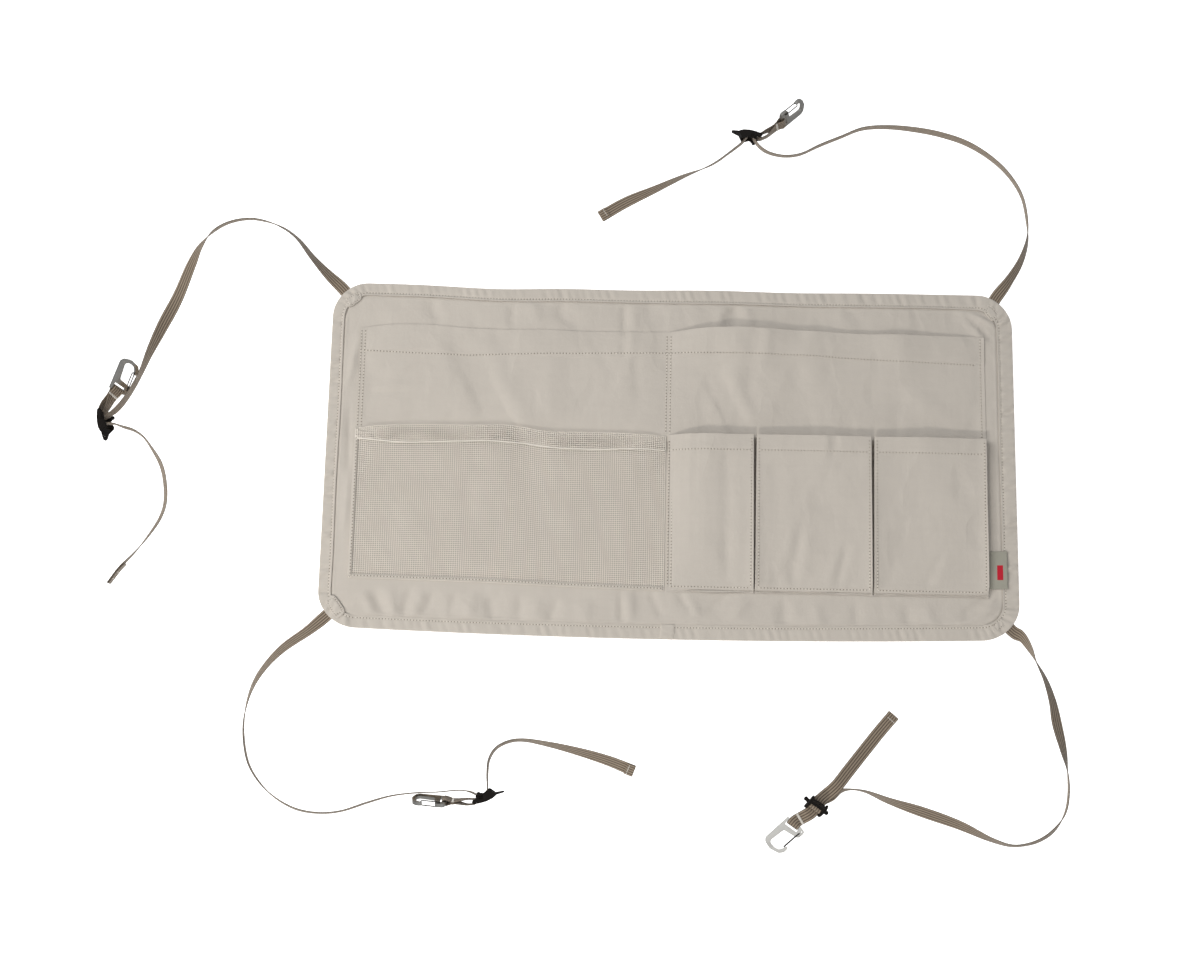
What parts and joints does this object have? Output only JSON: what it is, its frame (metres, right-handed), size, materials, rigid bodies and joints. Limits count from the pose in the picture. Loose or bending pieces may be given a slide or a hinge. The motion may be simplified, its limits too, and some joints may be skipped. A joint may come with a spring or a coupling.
{
  "type": "pocket organizer",
  "caption": "Flat canvas hanging organizer with bound edge, wide upper compartments, a net pocket, pleated pockets and adjustable webbing straps with clip hooks.",
  "frame": {"origin": "middle of the bound panel in plan, at its underside", "axes": "+X along the panel's length, +Y up its height as it hangs, +Z out of the pockets"},
  "size_m": [1.182, 0.9386, 0.0401],
  "materials": {
    "canvas": "plain woven canvas, warm light grey",
    "netting": "knitted polyester net in the canvas colour",
    "webbing": "ribbed polyester webbing, taupe",
    "woven_tab": "plain woven label tape with a red block",
    "moulded_black": "moulded acetal, fine matt",
    "aluminium": "satin anodised",
    "steel_wire": "drawn spring wire"
  },
  "bodies": {
    "organizer": {"panel": "canvas", "edge_binding": "canvas", "binding_lap": "canvas", "upper_pocket": "canvas", "mesh_pocket": "netting", "mesh_hem": "netting", "mesh_seam_tape": "canvas", "bellows_pocket_small": "canvas", "bellows_pocket_middle": "canvas", "bellows_pocket_end": "canvas", "side_tab": "woven_tab", "strap_tl": "webbing", "strap_tr": "webbing", "strap_bl": "webbing", "strap_br": "webbing", "buckle_tl": "moulded_black", "buckle_tr": "moulded_black", "buckle_bl": "moulded_black", "buckle_br": "moulded_black"},
    "loop_tl": {"hook_loop_tl": "webbing"},
    "hook_tl": {"carabiner_tl": "aluminium"},
    "gate_tl": {"wire_gate_tl": "steel_wire"},
    "loop_tr": {"hook_loop_tr": "webbing"},
    "hook_tr": {"carabiner_tr": "aluminium"},
    "gate_tr": {"wire_gate_tr": "steel_wire"},
    "loop_bl": {"hook_loop_bl": "webbing"},
    "hook_bl": {"carabiner_bl": "aluminium"},
    "gate_bl": {"wire_gate_bl": "steel_wire"},
    "loop_br": {"hook_loop_br": "webbing"},
    "hook_br": {"carabiner_br": "aluminium"},
    "gate_br": {"wire_gate_br": "steel_wire"}
  },
  "joints": [
    {"name": "loop_swing_tl", "type": "hinge", "parent": "organizer", "child": "loop_tl", "pos_m": [-0.69905, 0.04441, 0.0168], "axis": [-0.1873, -0.0364, 0.9816], "range_deg": [0, 70]},
    {"name": "hook_swing_tl", "type": "hinge", "parent": "loop_tl", "child": "hook_tl", "pos_m": [-0.68464, 0.07336, 0.0134], "axis": [0.5567, -0.3214, -0.766], "range_deg": [-60, 5]},
    {"name": "gate_open_tl", "type": "hinge", "parent": "hook_tl", "child": "gate_tl", "pos_m": [-0.67534, 0.0748, 0.00467], "axis": [0.6634, -0.383, 0.6428], "range_deg": [0, 36], "stiffness_Nm_per_rad": 0.004, "springref_deg": -5.73},
    {"name": "loop_swing_tr", "type": "hinge", "parent": "organizer", "child": "loop_tr", "pos_m": [0.10791, 0.41905, 0.0179], "axis": [-0.0164, -0.1032, 0.9945], "range_deg": [-15, 70]},
    {"name": "hook_swing_tr", "type": "hinge", "parent": "loop_tr", "child": "hook_tr", "pos_m": [0.13588, 0.43901, 0.0186], "axis": [-0.2332, 0.2027, 0.9511], "range_deg": [-60, 60]},
    {"name": "gate_open_tr", "type": "hinge", "parent": "hook_tr", "child": "gate_tr", "pos_m": [0.13709, 0.44577, 0.02944], "axis": [-0.7178, 0.6239, -0.309], "range_deg": [0, 36], "stiffness_Nm_per_rad": 0.004, "springref_deg": -5.73},
    {"name": "loop_swing_bl", "type": "hinge", "parent": "organizer", "child": "loop_bl", "pos_m": [-0.22554, -0.41648, 0.0177], "axis": [0.0383, -0.0973, 0.9945], "range_deg": [0, 80]},
    {"name": "hook_swing_bl", "type": "hinge", "parent": "loop_bl", "child": "hook_bl", "pos_m": [-0.25946, -0.41654, 0.018], "axis": [0.0065, -0.3745, 0.9272], "range_deg": [0, 80]},
    {"name": "gate_open_bl", "type": "hinge", "parent": "hook_bl", "child": "gate_bl", "pos_m": [-0.26528, -0.42091, 0.02857], "axis": [0.0162, -0.927, -0.3746], "range_deg": [0, 36], "stiffness_Nm_per_rad": 0.004, "springref_deg": -5.73},
    {"name": "loop_swing_br", "type": "hinge", "parent": "organizer", "child": "loop_br", "pos_m": [0.17336, -0.41871, 0.00425], "axis": [-0.829, 0.5592, 0], "range_deg": [-70, 8]},
    {"name": "hook_swing_br", "type": "hinge", "parent": "loop_br", "child": "hook_br", "pos_m": [0.15114, -0.43433, 0.0048], "axis": [0.8211, -0.5707, 0], "range_deg": [-80, 60]},
    {"name": "gate_open_br", "type": "hinge", "parent": "hook_br", "child": "gate_br", "pos_m": [0.15714, -0.44568, 0.0048], "axis": [0, 0, -1], "range_deg": [0, 36], "stiffness_Nm_per_rad": 0.004, "springref_deg": -5.73}
  ]
}
